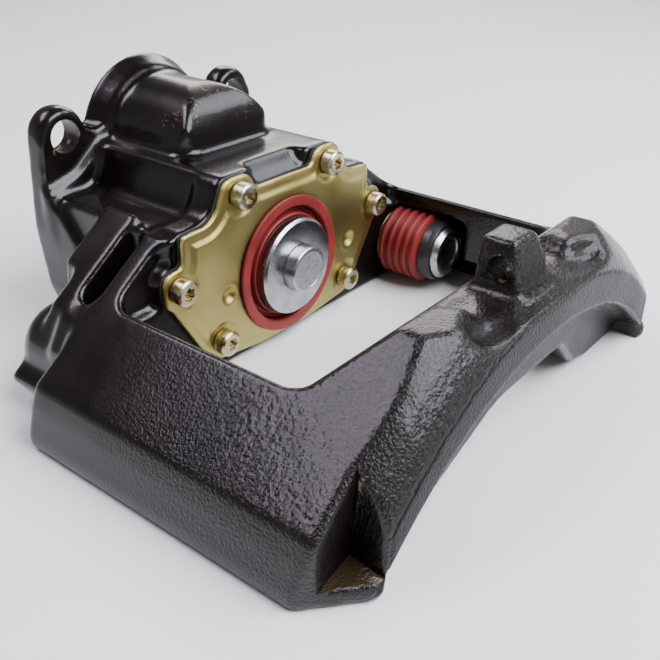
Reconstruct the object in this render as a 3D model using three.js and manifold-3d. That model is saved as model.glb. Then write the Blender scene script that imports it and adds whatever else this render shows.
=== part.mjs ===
// A sliding air disc brake caliper: one hollow iron casting that reaches over the disc, with its
// lever, thrust bridge, adjuster, tappet and two guide sleeves. Millimetres, +Z up, +X across the
// two arms, +Y from the brake chamber towards the outboard finger.
import * as THREE from "three";
import { mergeVertices } from "three/addons/utils/BufferGeometryUtils.js";
import Module from "manifold-3d";

const wasm = await Module();
wasm.setup();

// ---------------------------------------------------------------- driving dimensions
// Places are measured from the tappet axis, in the front plane of the boot ring.
const GAP = 0.3; // running and resting clearance between neighbouring pieces
const BASE_Z = -44; // the level that the caliper stands on

const FACE_Y = -7.7; // machined front of the housing
const FLANGE_FRONT_Y = -97;
const FLANGE_BACK_Y = -110;
const STUD_X = 60.325; // half of the 4.75 inch stud spacing of a brake chamber
const STUD_Z = 62.4;
const STUD_R = 8.5;
const EAR_R = 14.5;
const COLLAR_Z = 51; // centre of the flange's round top
const COLLAR_R = 43;
const ROD_R = 18; // opening for the chamber's push rod
const DOME_R = 33.5;
const DOME_FRONT_Y = -40;

const BORE_R = 41; // bore for the thrust bridge
const WALL = 6;
const LEVER_ROOM_X = 37;
const LEVER_ROOM_Y = -94;
const SHELF_Y = -48; // where the bore gives way to the lever chamber
const HUB_Y = -62; // axis of the lever's bearing journals
const HUB_R = 14;
const SHELL_R = 17;
const ROLLER_R = 7;
const ROLLER_DY = 6; // roller axis from the journal axis
const ROLLER_DZ = 7;

const ARM_X = 104; // inner side of each arm
const OUTER_X = 150;
const ROOT_Y = -25; // rear face of the arms
const PEAK_X = 75; // where the arms' sloping tops meet the level top
const PEAK_Z = 35;
const SLOPE = 0.7222; // fall of the arms' tops for each millimetre outwards
const BEAM_IN_Y = 100;
const BEAM_OUT_Y = 148;
const PEAK_Y = 116.5; // inner edge of the level pads beside the lug
const DIP_Z = 28; // floor of the dip between the level pads, round the lug
const FOOT_X = 126; // the beam's corners are cut from here
const FOOT_Y = 127; // to here
const SHELF_Z = -36; // level floor in the beam's outboard corners
const POCKET_TOP_Z = 12;
const LUG_ROOT_Z = 29;
const LUG_TOP_Z = 52;
const LUG_HOLE_R = 6;
const LUG_HOLE_Y = 125.5;
const LUG_HOLE_Z = 40;
const AXLE_Z = -141; // the wheel's axle, which the outboard band follows
const BAND_R = 171;
const BAND_ROUND_X = 117;
const BAND_END_FALL = 0.667;
const BAND_HEIGHT = 18;
const RECESS_LEAN = 0.22;
// The crowned slope above the band: how steeply each strip climbs, and its height at the outboard face.
const CROWN = [
  [2, 0],
  [1.15, 3.2],
  [0.65, 8.9],
];

const PIN_X = 105;
const PIN_Z = -20;
const PIN_BOSS_R = 21.2;
const PIN_BOSS_Y = -61;
const RELIEF_R = 22.4; // hollow under each arm for the guide bellows
const RELIEF_END_Y = 42;
const POCKET_Y = -13;
const BUSH_R = 17.5;
const BUSH_BACK_Y = -50;
const SLEEVE_R = 15.7;
const SLEEVE_HOLE_R = 9.2;
const SLEEVE_END_Y = 33;
const SLEEVE_BACK_Y = -38;

const PLATE_Y = -3; // outer face of the cover plate
const PLATE_THICK = 3;
const SCREWS = [
  [33.4, 46.6],
  [74.8, 11.9],
  [49.3, -25.7],
];
const SCREW_R = 6.5;
const SCREW_SHANK_R = 3.5;
const SCREW_TIP_Y = -24;
const SCREW_HEAD_Y = 3.3;
const SOCKET_R = 3.3; // six-lobed socket, out to its lobes
const SOCKET_DEPTH = 3;
const TAPPET_R = 25.8;
const TAPPET_FRONT_Y = 4.9;
const NUB_R = 12.3;
const NUB_FRONT_Y = 12;
const NUB_SEAT_Y = 4.1; // floor of the tappet's recess for the plug
const BOOT_R = 36.8;

const SPINDLE_R = 9.6;
const GEAR_MODULE = 1.5;
const SPINDLE_TEETH = 24;
const PINION_TEETH = 12;
const PINION_ANGLE = THREE.MathUtils.degToRad(234); // direction of the adjuster shaft from the spindle
const GEAR_CENTRES = (GEAR_MODULE * (SPINDLE_TEETH + PINION_TEETH)) / 2;
const PINION_X = GEAR_CENTRES * Math.cos(PINION_ANGLE);
const PINION_Z = GEAR_CENTRES * Math.sin(PINION_ANGLE);
const SHAFT_R = 4;
const CAP_R = 9;
const CAP_FRONT_Y = FLANGE_BACK_Y + 5;

// ---------------------------------------------------------------- shape helpers
const ROUND = 28; // sides of a full turn
const FINE = 2; // half the chords of a corner's arc

// A closed mesh as a manifold solid, with its faces turned outwards.
function solid(geometry) {
  const bare = new THREE.BufferGeometry();
  bare.setAttribute("position", geometry.getAttribute("position").clone());
  if (geometry.index) bare.setIndex(geometry.index.clone());
  const merged = mergeVertices(bare, 1e-4);
  const vertProperties = new Float32Array(merged.attributes.position.array);
  const triVerts = new Uint32Array(merged.index.array);
  const make = () => new wasm.Manifold(new wasm.Mesh({ numProp: 3, vertProperties, triVerts }));
  const made = make();
  if (made.volume() > 0) return made;
  for (let i = 0; i < triVerts.length; i += 3) {
    [triVerts[i + 1], triVerts[i + 2]] = [triVerts[i + 2], triVerts[i + 1]];
  }
  return make();
}

function geometryOf(made) {
  const mesh = made.getMesh();
  const geometry = new THREE.BufferGeometry();
  geometry.setAttribute("position", new THREE.BufferAttribute(new Float32Array(mesh.vertProperties), 3));
  geometry.setIndex(new THREE.BufferAttribute(new Uint32Array(mesh.triVerts), 1));
  const flat = geometry.toNonIndexed();
  flat.computeVertexNormals();
  return flat;
}

const joined = (pieces) => pieces.reduce((whole, piece) => whole.add(piece));
const cut = (whole, pieces) => pieces.reduce((rest, piece) => rest.subtract(piece), whole);

// A closed outline from its corners [a, b, radius of the rounding].
function outline(corners) {
  const shape = new THREE.Shape();
  corners.forEach(([a, b, radius = 0], i) => {
    const corner = new THREE.Vector2(a, b);
    if (!radius) {
      if (i === 0) shape.moveTo(a, b);
      else shape.lineTo(a, b);
      return;
    }
    const side = (other) => new THREE.Vector2(other[0], other[1]).sub(corner).normalize();
    const back = side(corners[(i + corners.length - 1) % corners.length]);
    const ahead = side(corners[(i + 1) % corners.length]);
    const half = Math.acos(THREE.MathUtils.clamp(back.dot(ahead), -1, 1)) / 2;
    const centre = back.clone().add(ahead).setLength(radius / Math.sin(half)).add(corner);
    const run = radius / Math.tan(half);
    const start = back.clone().multiplyScalar(run).add(corner).sub(centre);
    const end = ahead.clone().multiplyScalar(run).add(corner).sub(centre);
    const clockwise = back.cross(ahead) > 0;
    if (i === 1 && shape.curves.length === 0) shape.lineTo(centre.x + start.x, centre.y + start.y);
    shape.absarc(centre.x, centre.y, radius, start.angle(), end.angle(), clockwise);
  });
  return shape;
}

// The right half of an outline, listed from bottom to top, with its mirror image.
const mirrored = (half) => [...half, ...half.map(([a, b, r]) => [-a, b, r]).reverse()];

const TURN_TO = {
  x: new THREE.Matrix4().set(0, 0, 1, 0, 1, 0, 0, 0, 0, 1, 0, 0, 0, 0, 0, 1),
  y: new THREE.Matrix4().makeRotationX(Math.PI / 2),
  z: new THREE.Matrix4(),
};

// An outline pushed from low to high along an axis. Its own axes are the other two, in X, Y, Z order.
function prism(axis, shape, low, high, steps = FINE) {
  const geometry = new THREE.ExtrudeGeometry(shape, {
    depth: high - low,
    bevelEnabled: false,
    curveSegments: steps,
  });
  geometry.applyMatrix4(TURN_TO[axis]);
  if (axis === "x") geometry.translate(low, 0, 0);
  if (axis === "y") geometry.translate(0, high, 0);
  if (axis === "z") geometry.translate(0, 0, low);
  return solid(geometry);
}

function box(x0, x1, y0, y1, z0, z1) {
  const geometry = new THREE.BoxGeometry(x1 - x0, y1 - y0, z1 - z0);
  geometry.translate((x0 + x1) / 2, (y0 + y1) / 2, (z0 + z1) / 2);
  return solid(geometry);
}

// A profile of [radius, y] points turned about the line along Y through (x, z).
function turned(profile, x = 0, z = 0, sides = ROUND) {
  const points = profile.map(([r, y]) => new THREE.Vector2(r, y));
  return solid(new THREE.LatheGeometry(points, sides).translate(x, 0, z));
}

const rod = (r, y0, y1, x = 0, z = 0, sides = ROUND) =>
  turned([[0, y0], [r, y0], [r, y1], [0, y1]], x, z, sides);

const tube = (inner, outer, y0, y1, x = 0, z = 0, sides = ROUND) =>
  turned([[inner, y0], [outer, y0], [outer, y1], [inner, y1], [inner, y0]], x, z, sides);

// A rod along X.
function crossRod(r, x0, x1, y, z, sides = ROUND) {
  const geometry = new THREE.CylinderGeometry(r, r, x1 - x0, sides);
  geometry.rotateZ(Math.PI / 2).translate((x0 + x1) / 2, y, z);
  return solid(geometry);
}

// A block with four corners [x, y] at each of two levels.
function frustum(low, lowZ, high, highZ) {
  const points = [...low.map(([x, y]) => [x, y, lowZ]), ...high.map(([x, y]) => [x, y, highZ])];
  const faces = [3, 2, 1, 3, 1, 0, 4, 5, 6, 4, 6, 7];
  for (let i = 0; i < 4; i += 1) {
    const j = (i + 1) % 4;
    faces.push(i, j, j + 4, i, j + 4, i + 4);
  }
  const geometry = new THREE.BufferGeometry();
  geometry.setAttribute("position", new THREE.Float32BufferAttribute(points.flat(), 3));
  geometry.setIndex(faces);
  return solid(geometry);
}

const bothSides = (make) => [1, -1].map(make);
const between = (a, b) => [Math.min(a, b), Math.max(a, b)];

// ---------------------------------------------------------------- materials and the scene graph
const metal = (color, roughness, metalness) =>
  new THREE.MeshStandardMaterial({ color, roughness, metalness, flatShading: true });
const FINISH = {
  paint: () => metal(0x1b1715, 0.35, 0.1),
  gold: () => metal(0xb9ab6e, 0.42, 0.85),
  gasket: () => metal(0x2a2a2a, 0.8, 0),
  zinc: () => metal(0xc9c2a2, 0.35, 0.9),
  red: () => metal(0xa83a33, 0.5, 0),
  bright: () => metal(0xc6c8cb, 0.25, 1),
  grey: () => metal(0x8d8f93, 0.4, 1),
  steel: () => metal(0x8a8a86, 0.45, 0.9),
  brass: () => metal(0xb08d3c, 0.4, 0.9),
  black: () => metal(0x17181a, 0.6, 0),
};

const caliper = new THREE.Group();
function place(name, made, finish) {
  const mesh = new THREE.Mesh(geometryOf(made), FINISH[finish]());
  mesh.name = name;
  caliper.add(mesh);
}

// ---------------------------------------------------------------- the casting
// Right half of the outline that the housing front, the gasket and the cover plate share.
const COVER_HALF = [
  [19, -40.5, 16],
  [52, -36.5, 9],
  [62, -26, 9],
  [79, 1.5, 6],
  [83.5, 5, 6],
  [83.5, 20.5, 7],
  [71.5, 22, 3],
  [70.8, 36.5, 3],
  [50, 37.5, 12],
  [42.5, 55.5, 8],
  [24.5, 55.5, 8],
  [21, 47.5, 4],
];

const armTop = (x) => PEAK_Z - SLOPE * (Math.abs(x) - PEAK_X);

// Upper edge of the outboard band, which follows the wheel and straightens towards the feet.
function bandTop(x) {
  const across = Math.min(Math.abs(x), BAND_ROUND_X);
  const rest = Math.abs(x) - across;
  return AXLE_Z + Math.sqrt(BAND_R ** 2 - across ** 2) - BAND_END_FALL * rest;
}
const bandBottom = (x) => bandTop(x) - BAND_HEIGHT;

// Points of a curve z(x), from one side to the other.
function curve(z, x0, x1, count) {
  const points = [];
  for (let i = 0; i <= count; i += 1) {
    const x = x0 + ((x1 - x0) * i) / count;
    points.push([x, z(x)]);
  }
  return points;
}

// Arms and beam: a plan ring given the section that slopes down to both sides.
function yoke() {
  const plan = outline([
    [OUTER_X, ROOT_Y],
    [OUTER_X, FOOT_Y, 4],
    [FOOT_X, BEAM_OUT_Y, 4],
    [-FOOT_X, BEAM_OUT_Y, 4],
    [-OUTER_X, FOOT_Y, 4],
    [-OUTER_X, ROOT_Y],
  ]);
  const window = outline([
    [ARM_X, FACE_Y],
    [ARM_X, BEAM_IN_Y, 22],
    [-ARM_X, BEAM_IN_Y, 22],
    [-ARM_X, FACE_Y],
  ]);
  const section = outline(
    mirrored([
      [OUTER_X, BASE_Z, 3],
      [OUTER_X, -36],
      [146.5, -23],
      [143, armTop(143)],
      [PEAK_X, PEAK_Z, 4],
    ]),
  );
  const ring = prism("z", plan, BASE_Z, PEAK_Z + 1).intersect(prism("y", section, ROOT_Y, BEAM_OUT_Y));
  return ring.subtract(prism("z", window, BASE_Z - 1, PEAK_Z + 2, 5));
}

// Everything above a sweep of the band's top edge, inwards and upwards at the given slope.
function slopeCutter([slope, rise]) {
  const wide = OUTER_X + 5;
  const shape = outline([...curve(bandTop, -wide, wide, 28), [wide, 90], [-wide, 90]]);
  const geometry = new THREE.ExtrudeGeometry(shape, { depth: 60, bevelEnabled: false });
  geometry.rotateX(Math.PI / 2);
  geometry.applyMatrix4(new THREE.Matrix4().set(1, 0, 0, 0, 0, 1, 0, 0, 0, -slope, 1, 0, 0, 0, 0, 1));
  return solid(geometry.translate(0, BEAM_OUT_Y, rise));
}

// The outboard face below the band leans back towards the disc.
function recessCutter() {
  const wide = FOOT_X - 6;
  const under = outline([
    [-wide, BASE_Z - 5],
    [wide, BASE_Z - 5],
    ...curve(bandBottom, -wide, wide, 24).reverse(),
  ]);
  const top = BAND_R + AXLE_Z;
  const lean = outline([
    [BEAM_OUT_Y - RECESS_LEAN * (top - BASE_Z + 5), BASE_Z - 5],
    [BEAM_OUT_Y + 5, BASE_Z - 5],
    [BEAM_OUT_Y + 5, top],
    [BEAM_OUT_Y, top],
  ]);
  return prism("y", under, 120, BEAM_OUT_Y + 5).intersect(prism("x", lean, -wide, wide));
}

// The arch through the outboard wall, between the two fingers that press on the outer pad.
const archCutter = () =>
  prism(
    "y",
    outline(
      mirrored([
        [86, BASE_Z - 1],
        [65, -39, 12],
        [31, -12, 18],
      ]),
    ),
    BEAM_IN_Y - 5,
    BEAM_OUT_Y + 5,
    4,
  );

// The beam's top leans up from the window, and dips between the tongues of the two level pads.
function beamTopCutters() {
  const lean = outline([
    [BEAM_IN_Y - 25, -7],
    [PEAK_Y + 5, PEAK_Z + 5],
    [BEAM_IN_Y - 25, PEAK_Z + 5],
  ]);
  const dip = outline(
    mirrored([
      [46, BEAM_IN_Y - 10],
      [47, 113, 4],
      [41, 119, 4],
      [42, 130, 4],
      [58, 136, 5],
      [55, BEAM_OUT_Y + 2],
    ]),
  );
  return [prism("x", lean, -ARM_X, ARM_X), prism("z", dip, DIP_Z, PEAK_Z + 2, 3)];
}

// The drafted lug for the pad retainer, with its cross hole.
function beamLug() {
  const root = [[-17, 110], [17, 110], [17, 141], [-17, 141]];
  const shoulder = [[-14, 112.5], [15.5, 112.5], [15.5, 137], [-14, 137]];
  const top = [[-6, 114.5], [13, 114.5], [13, 130], [-6, 131]];
  return frustum(root, 18, shoulder, LUG_ROOT_Z).add(frustum(shoulder, LUG_ROOT_Z, top, LUG_TOP_Z));
}

// Each outboard corner is cut back to two upright walls, and leaves a level shelf over the foot.
function footPocket(side) {
  const shelf = [[119.8, 130.2], [156, 135.3], [156, 160], [122.2, 160]];
  const above = [[118, 131.5], [156, 136.9], [156, 160], [120.4, 160]];
  const onSide = (corners) => corners.map(([x, y]) => [side * x, y]);
  return frustum(onSide(shelf), SHELF_Z, onSide(above), POCKET_TOP_Z);
}

// Under each arm: room for the guide bellows, and for the carrier beyond it.
function armCutters(side) {
  const relief = rod(RELIEF_R, -6, RELIEF_END_Y, side * PIN_X, PIN_Z);
  const under = outline([
    [side * 98, -22],
    [side * 118, -22],
    [side * 132, BASE_Z - 1],
    [side * 98, BASE_Z - 1],
  ]);
  const pocket = outline([
    [side * 75, FACE_Y + 3],
    [side * 75, POCKET_Y, 5],
    [side * ARM_X, POCKET_Y, 7],
    [side * ARM_X, FACE_Y + 3],
  ]);
  return [relief, prism("y", under, -6, BEAM_IN_Y), prism("z", pocket, 3, 45)];
}

// Behind each arm: a fin beside a slot, a stepped tab, a gusset and the round guide boss.
function rearBoss(side) {
  const bossProfile = [
    [0, PIN_BOSS_Y],
    [PIN_BOSS_R - 2, PIN_BOSS_Y],
    [PIN_BOSS_R, PIN_BOSS_Y + 6],
    [PIN_BOSS_R, ROOT_Y + 1],
    [0, ROOT_Y + 1],
  ];
  const boss = turned(bossProfile, side * PIN_X, PIN_Z);
  const under = (x) => [side * x, armTop(x)];
  const fin = outline([
    under(68),
    under(114),
    [side * 121, -6],
    [side * 121, -34],
    [side * 100, -42],
    [side * 60, -42],
  ]);
  const tab = outline([under(68), under(97), [side * 99, 2], [side * 68, -4]]);
  const web = outline([
    [side * 106, 11],
    under(117),
    [side * 126, -10],
    [side * 126, -24],
    [side * 106, -24],
  ]);
  const gusset = outline([
    [side * 104, -14],
    [side * 122, -20],
    [side * 134, -29],
    [side * 124, BASE_Z],
    [side * 60, BASE_Z],
    [side * 60, -30],
  ]);
  return [
    boss,
    prism("y", fin, -48, -36),
    prism("y", tab, -58, -47),
    prism("y", web, -37, ROOT_Y + 1),
    prism("y", gusset, PIN_BOSS_Y, ROOT_Y + 1),
  ];
}

// The housing runs from the cover face to the flange, with a hollow valley down each side.
function housing() {
  const section = outline(
    mirrored([
      [52, BASE_Z, 6],
      [66, -31, 8],
      [72, 8, 10],
      [72, 34, 1.5],
      [49, 34.5, 10],
      [41, 55.5, 5],
    ]),
  );
  const shell = prism("y", section, FLANGE_FRONT_Y - 1, FACE_Y);
  const front = prism("y", outline(mirrored(COVER_HALF)), -22, FACE_Y);
  const scoop = outline([[-18, 58], [-17, 55.5], [-12, 49, 6], [FACE_Y + 1, 46], [FACE_Y + 1, 58]]);
  return shell.add(front).subtract(prism("x", scoop, -20, 20));
}

// Lever dome: a half-round tunnel in front of the collar, with a rounded nose.
function dome(inset = 0) {
  const half = DOME_R - inset;
  const top = COLLAR_Z + DOME_R - inset;
  const front = DOME_FRONT_Y - inset;
  const back = FLANGE_FRONT_Y - 4;
  const section = outline(mirrored([[half, 30], [half, top, half - 0.5]]));
  const side = outline([[back, 30], [front, 30], [front - 1, top, 27], [back, top + 1]]);
  const plan = outline([[-half, back], [half, back], [half, front, 13], [-half, front, 13]]);
  return prism("y", section, back, front, 6)
    .intersect(prism("x", side, -half, half, 5))
    .intersect(prism("z", plan, 30, top + 1, 4));
}

// Mounting flange for the brake chamber: round collar, two ears, and flared side walls.
function flange() {
  const body = outline(
    mirrored([
      [52, BASE_Z, 6],
      [70, -32, 6],
      [74.5, -18],
      [78, 17],
      [STUD_X + EAR_R, STUD_Z],
      [40, STUD_Z],
    ]),
  );
  const step = outline(mirrored([[74, -18], [78, 17], [78, 37], [58, 42, 16], [41, 56, 3]]));
  const flare = outline([
    [FLANGE_BACK_Y, BASE_Z],
    [-70, BASE_Z],
    [-72, 0],
    [-76, 15],
    [-87, 28],
    [-93, 33],
    [FLANGE_FRONT_Y, 40],
    [FLANGE_BACK_Y, 40],
  ]);
  const collar = turned(
    [
      [0, FLANGE_BACK_Y],
      [COLLAR_R, FLANGE_BACK_Y],
      [COLLAR_R - 3.5, FLANGE_BACK_Y + 7],
      [COLLAR_R - 6, FLANGE_FRONT_Y],
      [0, FLANGE_FRONT_Y],
    ],
    0,
    COLLAR_Z,
    40,
  );
  const earProfile = [
    [0, FLANGE_BACK_Y],
    [EAR_R, FLANGE_BACK_Y],
    [EAR_R, FLANGE_FRONT_Y - 4],
    [EAR_R - 2.5, FLANGE_FRONT_Y],
    [0, FLANGE_FRONT_Y],
  ];
  const ears = bothSides((side) => turned(earProfile, side * STUD_X, STUD_Z));
  const flares = bothSides((side) => prism("x", flare, ...between(side * 60, side * 77)));
  const flared = joined(flares).intersect(prism("y", body, FLANGE_BACK_Y, -60));
  return joined([
    prism("y", body, FLANGE_BACK_Y, FLANGE_FRONT_Y),
    prism("y", step, FLANGE_FRONT_Y - 1, -93, 4),
    collar,
    flared,
    ...ears,
  ]);
}

// Everything that is cored or machined out of the casting.
function cavities() {
  const leverRoom = outline(mirrored([[LEVER_ROOM_X, -26, 6], [LEVER_ROOM_X, 40, 6]]));
  const bores = [
    rod(BORE_R, SHELF_Y, FACE_Y + 1),
    prism("y", leverRoom, LEVER_ROOM_Y, SHELF_Y + 1),
    dome(WALL),
    rod(ROD_R, FLANGE_BACK_Y - 1, FLANGE_FRONT_Y + 5, 0, STUD_Z),
    rod(SHAFT_R + GAP, FLANGE_BACK_Y - 1, LEVER_ROOM_Y + 1, PINION_X, PINION_Z, 24),
    rod(CAP_R + GAP, FLANGE_BACK_Y - 1, CAP_FRONT_Y + GAP, PINION_X, PINION_Z, 24),
    crossRod(LUG_HOLE_R, -30, 30, LUG_HOLE_Y, LUG_HOLE_Z, 28),
    ...bothSides((side) => rod(STUD_R, FLANGE_BACK_Y - 1, FLANGE_FRONT_Y + 1, side * STUD_X, STUD_Z)),
    ...bothSides((side) => rod(BUSH_R + GAP, PIN_BOSS_Y - 1, -5, side * PIN_X, PIN_Z)),
  ];
  SCREWS.forEach(([x, z]) => {
    bothSides((side) => bores.push(rod(SCREW_SHANK_R + GAP, SCREW_TIP_Y - 1, FACE_Y + 1, side * x, z, 16)));
  });
  return bores;
}

// Cradles behind the lever's two journals, which carry the bearing shells.
function cradle(side) {
  const block = box(...between(side * 25, side * 38), LEVER_ROOM_Y - 1, HUB_Y, -19, 19);
  return block.subtract(crossRod(SHELL_R + GAP, -40, 40, HUB_Y, 0));
}

function casting() {
  const outside = cut(yoke(), [
    ...CROWN.map(slopeCutter),
    recessCutter(),
    archCutter(),
    ...beamTopCutters(),
    ...bothSides(footPocket),
    ...bothSides(armCutters).flat(),
  ]);
  const whole = joined([outside, beamLug(), housing(), dome(), flange(), ...bothSides(rearBoss).flat()]);
  return cut(whole, cavities()).add(joined(bothSides(cradle)));
}

place("caliper_body", casting(), "paint");

// ---------------------------------------------------------------- cover, gasket and screws
const coverScrewHoles = (y0, y1) =>
  SCREWS.flatMap(([x, z]) => bothSides((side) => rod(SCREW_SHANK_R + GAP, y0, y1, side * x, z, 16)));

const coverOutline = outline(mirrored(COVER_HALF));
const PLATE_BACK_Y = PLATE_Y - PLATE_THICK;
const COVER_HOLE_R = 34.5;
place(
  "cover_plate",
  cut(prism("y", coverOutline, PLATE_BACK_Y, PLATE_Y, 4), [
    rod(COVER_HOLE_R, PLATE_BACK_Y - 1, PLATE_Y + 1),
    ...coverScrewHoles(PLATE_BACK_Y - 1, PLATE_Y + 1),
  ]),
  "gold",
);
place(
  "cover_gasket",
  cut(prism("y", coverOutline, FACE_Y + GAP, PLATE_BACK_Y - GAP), [
    rod(BORE_R, FACE_Y - 1, PLATE_BACK_Y),
    ...coverScrewHoles(FACE_Y - 1, PLATE_BACK_Y),
  ]),
  "gasket",
);

// A button-headed screw with a six-lobed socket.
function coverScrew(x, z) {
  const profile = [
    [0, SCREW_TIP_Y],
    [SCREW_SHANK_R - 1, SCREW_TIP_Y],
    [SCREW_SHANK_R, SCREW_TIP_Y + 1],
    [SCREW_SHANK_R, PLATE_Y + GAP],
    [SCREW_R, PLATE_Y + GAP],
    [SCREW_R, SCREW_HEAD_Y - 1.5],
    [SCREW_R - 1.2, SCREW_HEAD_Y],
    [0, SCREW_HEAD_Y],
  ];
  const lobes = [];
  for (let i = 0; i < 12; i += 1) {
    const angle = (i * Math.PI) / 6;
    const r = i % 2 ? SOCKET_R - 1 : SOCKET_R;
    lobes.push([x + r * Math.cos(angle), z + r * Math.sin(angle)]);
  }
  const socket = prism("y", outline(lobes), SCREW_HEAD_Y - SOCKET_DEPTH, SCREW_HEAD_Y + 1);
  return turned(profile, x, z, 16).subtract(socket);
}
const SCREW_NAMES = ["top", "side", "bottom"];
SCREWS.forEach(([x, z], i) => {
  place(`cover_screw_${SCREW_NAMES[i]}_left`, coverScrew(x, z), "zinc");
  place(`cover_screw_${SCREW_NAMES[i]}_right`, coverScrew(-x, z), "zinc");
});

// ---------------------------------------------------------------- tappet, its boot and the ring round it
const RING_IN_R = 31;
place(
  "boot_ring",
  turned(
    [
      [RING_IN_R, -6.5],
      [COVER_HOLE_R - GAP, -6.5],
      [COVER_HOLE_R - GAP, PLATE_Y + GAP],
      [BOOT_R, PLATE_Y + GAP],
      [BOOT_R, -1.2],
      [BOOT_R - 1.5, 0],
      [RING_IN_R + 0.8, 0],
      [RING_IN_R, -0.8],
      [RING_IN_R, -6.5],
    ],
    0,
    0,
    40,
  ),
  "red",
);
place(
  "tappet_boot",
  turned(
    [
      [TAPPET_R + GAP, -5],
      [RING_IN_R - GAP, -5],
      [RING_IN_R - GAP, -1.5],
      [29.4, 0.6],
      [28.2, -1.6],
      [27.2, 1.4],
      [TAPPET_R + GAP, 1.4],
      [TAPPET_R + GAP, -5],
    ],
    0,
    0,
    36,
  ),
  "red",
);

const TAPPET_TAIL_Y = -30.5;
const TAPPET_BORE_R = SPINDLE_R + 0.7;
const PLUG_STEM_R = 6;
place(
  "tappet",
  turned(
    [
      [TAPPET_BORE_R, TAPPET_TAIL_Y],
      [15.5, TAPPET_TAIL_Y],
      [15.5, -6],
      [TAPPET_R, -4],
      [TAPPET_R, TAPPET_FRONT_Y - 1.2],
      [TAPPET_R - 1.2, TAPPET_FRONT_Y],
      [NUB_R + GAP, TAPPET_FRONT_Y],
      [NUB_R + GAP, NUB_SEAT_Y],
      [PLUG_STEM_R + GAP, NUB_SEAT_Y],
      [PLUG_STEM_R + GAP, 3],
      [TAPPET_BORE_R, 3],
      [TAPPET_BORE_R, TAPPET_TAIL_Y],
    ],
    0,
    0,
    40,
  ),
  "bright",
);
place(
  "tappet_plug",
  turned(
    [
      [0, 3.4],
      [PLUG_STEM_R, 3.4],
      [PLUG_STEM_R, NUB_SEAT_Y + GAP],
      [NUB_R, NUB_SEAT_Y + GAP],
      [NUB_R, NUB_FRONT_Y - 1.2],
      [NUB_R - 1.2, NUB_FRONT_Y],
      [0, NUB_FRONT_Y],
    ],
    0,
    0,
    28,
  ),
  "grey",
);

// ---------------------------------------------------------------- spindle, gears and the adjuster shaft
// A spur gear: module, teeth, the angle of one tooth's middle, and its face width.
function gear(teeth, toothAngle, y0, y1, x, z) {
  const pitch = (GEAR_MODULE * teeth) / 2;
  const rootR = pitch - 1.25 * GEAR_MODULE;
  const tipR = pitch + 0.9 * GEAR_MODULE;
  const step = (2 * Math.PI) / teeth;
  const points = [];
  for (let i = 0; i < teeth; i += 1) {
    const middle = toothAngle + i * step;
    [[rootR, -0.31], [tipR, -0.13], [tipR, 0.13], [rootR, 0.31]].forEach(([r, share]) => {
      const angle = middle + share * step;
      points.push([x + r * Math.cos(angle), z + r * Math.sin(angle)]);
    });
  }
  return prism("y", outline(points), y0, y1);
}

const GEAR_BACK_Y = -35.6;
const GEAR_FRONT_Y = -31;
const SPINDLE_TAIL_Y = -47.5;
const SPINDLE_FRONT_Y = 2.5;
const THREAD_PITCH = 4;
function spindle() {
  const profile = [[0, SPINDLE_TAIL_Y], [SPINDLE_R, SPINDLE_TAIL_Y], [SPINDLE_R, GEAR_FRONT_Y + 1]];
  for (let y = GEAR_FRONT_Y + 1; y + THREAD_PITCH < SPINDLE_FRONT_Y; y += THREAD_PITCH) {
    profile.push([SPINDLE_R - 1.2, y + THREAD_PITCH / 2], [SPINDLE_R, y + THREAD_PITCH]);
  }
  profile.push([SPINDLE_R - 1.2, SPINDLE_FRONT_Y], [0, SPINDLE_FRONT_Y]);
  return turned(profile, 0, 0, 20);
}
place("threaded_spindle", spindle(), "steel");
place(
  "spindle_gear",
  gear(SPINDLE_TEETH, PINION_ANGLE, GEAR_BACK_Y, GEAR_FRONT_Y, 0, 0).subtract(
    rod(SPINDLE_R + GAP, GEAR_BACK_Y - 1, GEAR_FRONT_Y + 1, 0, 0, 20),
  ),
  "steel",
);
const pinionGapAngle = PINION_ANGLE + Math.PI + Math.PI / PINION_TEETH;
place(
  "adjuster_shaft",
  rod(SHAFT_R, CAP_FRONT_Y + 2 * GAP, GEAR_BACK_Y, PINION_X, PINION_Z, 24).add(
    gear(PINION_TEETH, pinionGapAngle, GEAR_BACK_Y - 0.2, GEAR_FRONT_Y + 0.8, PINION_X, PINION_Z),
  ),
  "steel",
);
place(
  "adjuster_cap",
  rod(CAP_R, FLANGE_BACK_Y, CAP_FRONT_Y, PINION_X, PINION_Z, 24),
  "black",
);

// ---------------------------------------------------------------- thrust bridge, spring and seat
const BRIDGE_BACK_Y = HUB_Y + ROLLER_DY + ROLLER_R + 0.4;
const BRIDGE_FRONT_Y = GEAR_BACK_Y - 0.4;
const BRIDGE_X = 24.3;
const POST_X = 22.6;
const SEAT_BACK_Y = -29.8;
const SEAT_FRONT_Y = -28.2;
function thrustBridge() {
  const bar = outline([
    [BRIDGE_X, -10.5, 3],
    [BRIDGE_X, 10.5, 3],
    [-BRIDGE_X, 10.5, 3],
    [-BRIDGE_X, -10.5, 3],
  ]);
  const posts = bothSides((side) => rod(2.6, BRIDGE_FRONT_Y - 1, SEAT_BACK_Y - GAP, side * POST_X, 0, 16));
  const middle = rod(14, BRIDGE_BACK_Y, BRIDGE_FRONT_Y);
  const whole = joined([prism("y", bar, BRIDGE_BACK_Y, BRIDGE_FRONT_Y), middle, ...posts]);
  return whole.subtract(rod(SPINDLE_R + GAP, SPINDLE_TAIL_Y - GAP, BRIDGE_FRONT_Y + 1, 0, 0, 20));
}
place("thrust_bridge", thrustBridge(), "steel");
place("spring_seat", tube(16.8, 26, SEAT_BACK_Y, SEAT_FRONT_Y), "steel");

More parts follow.
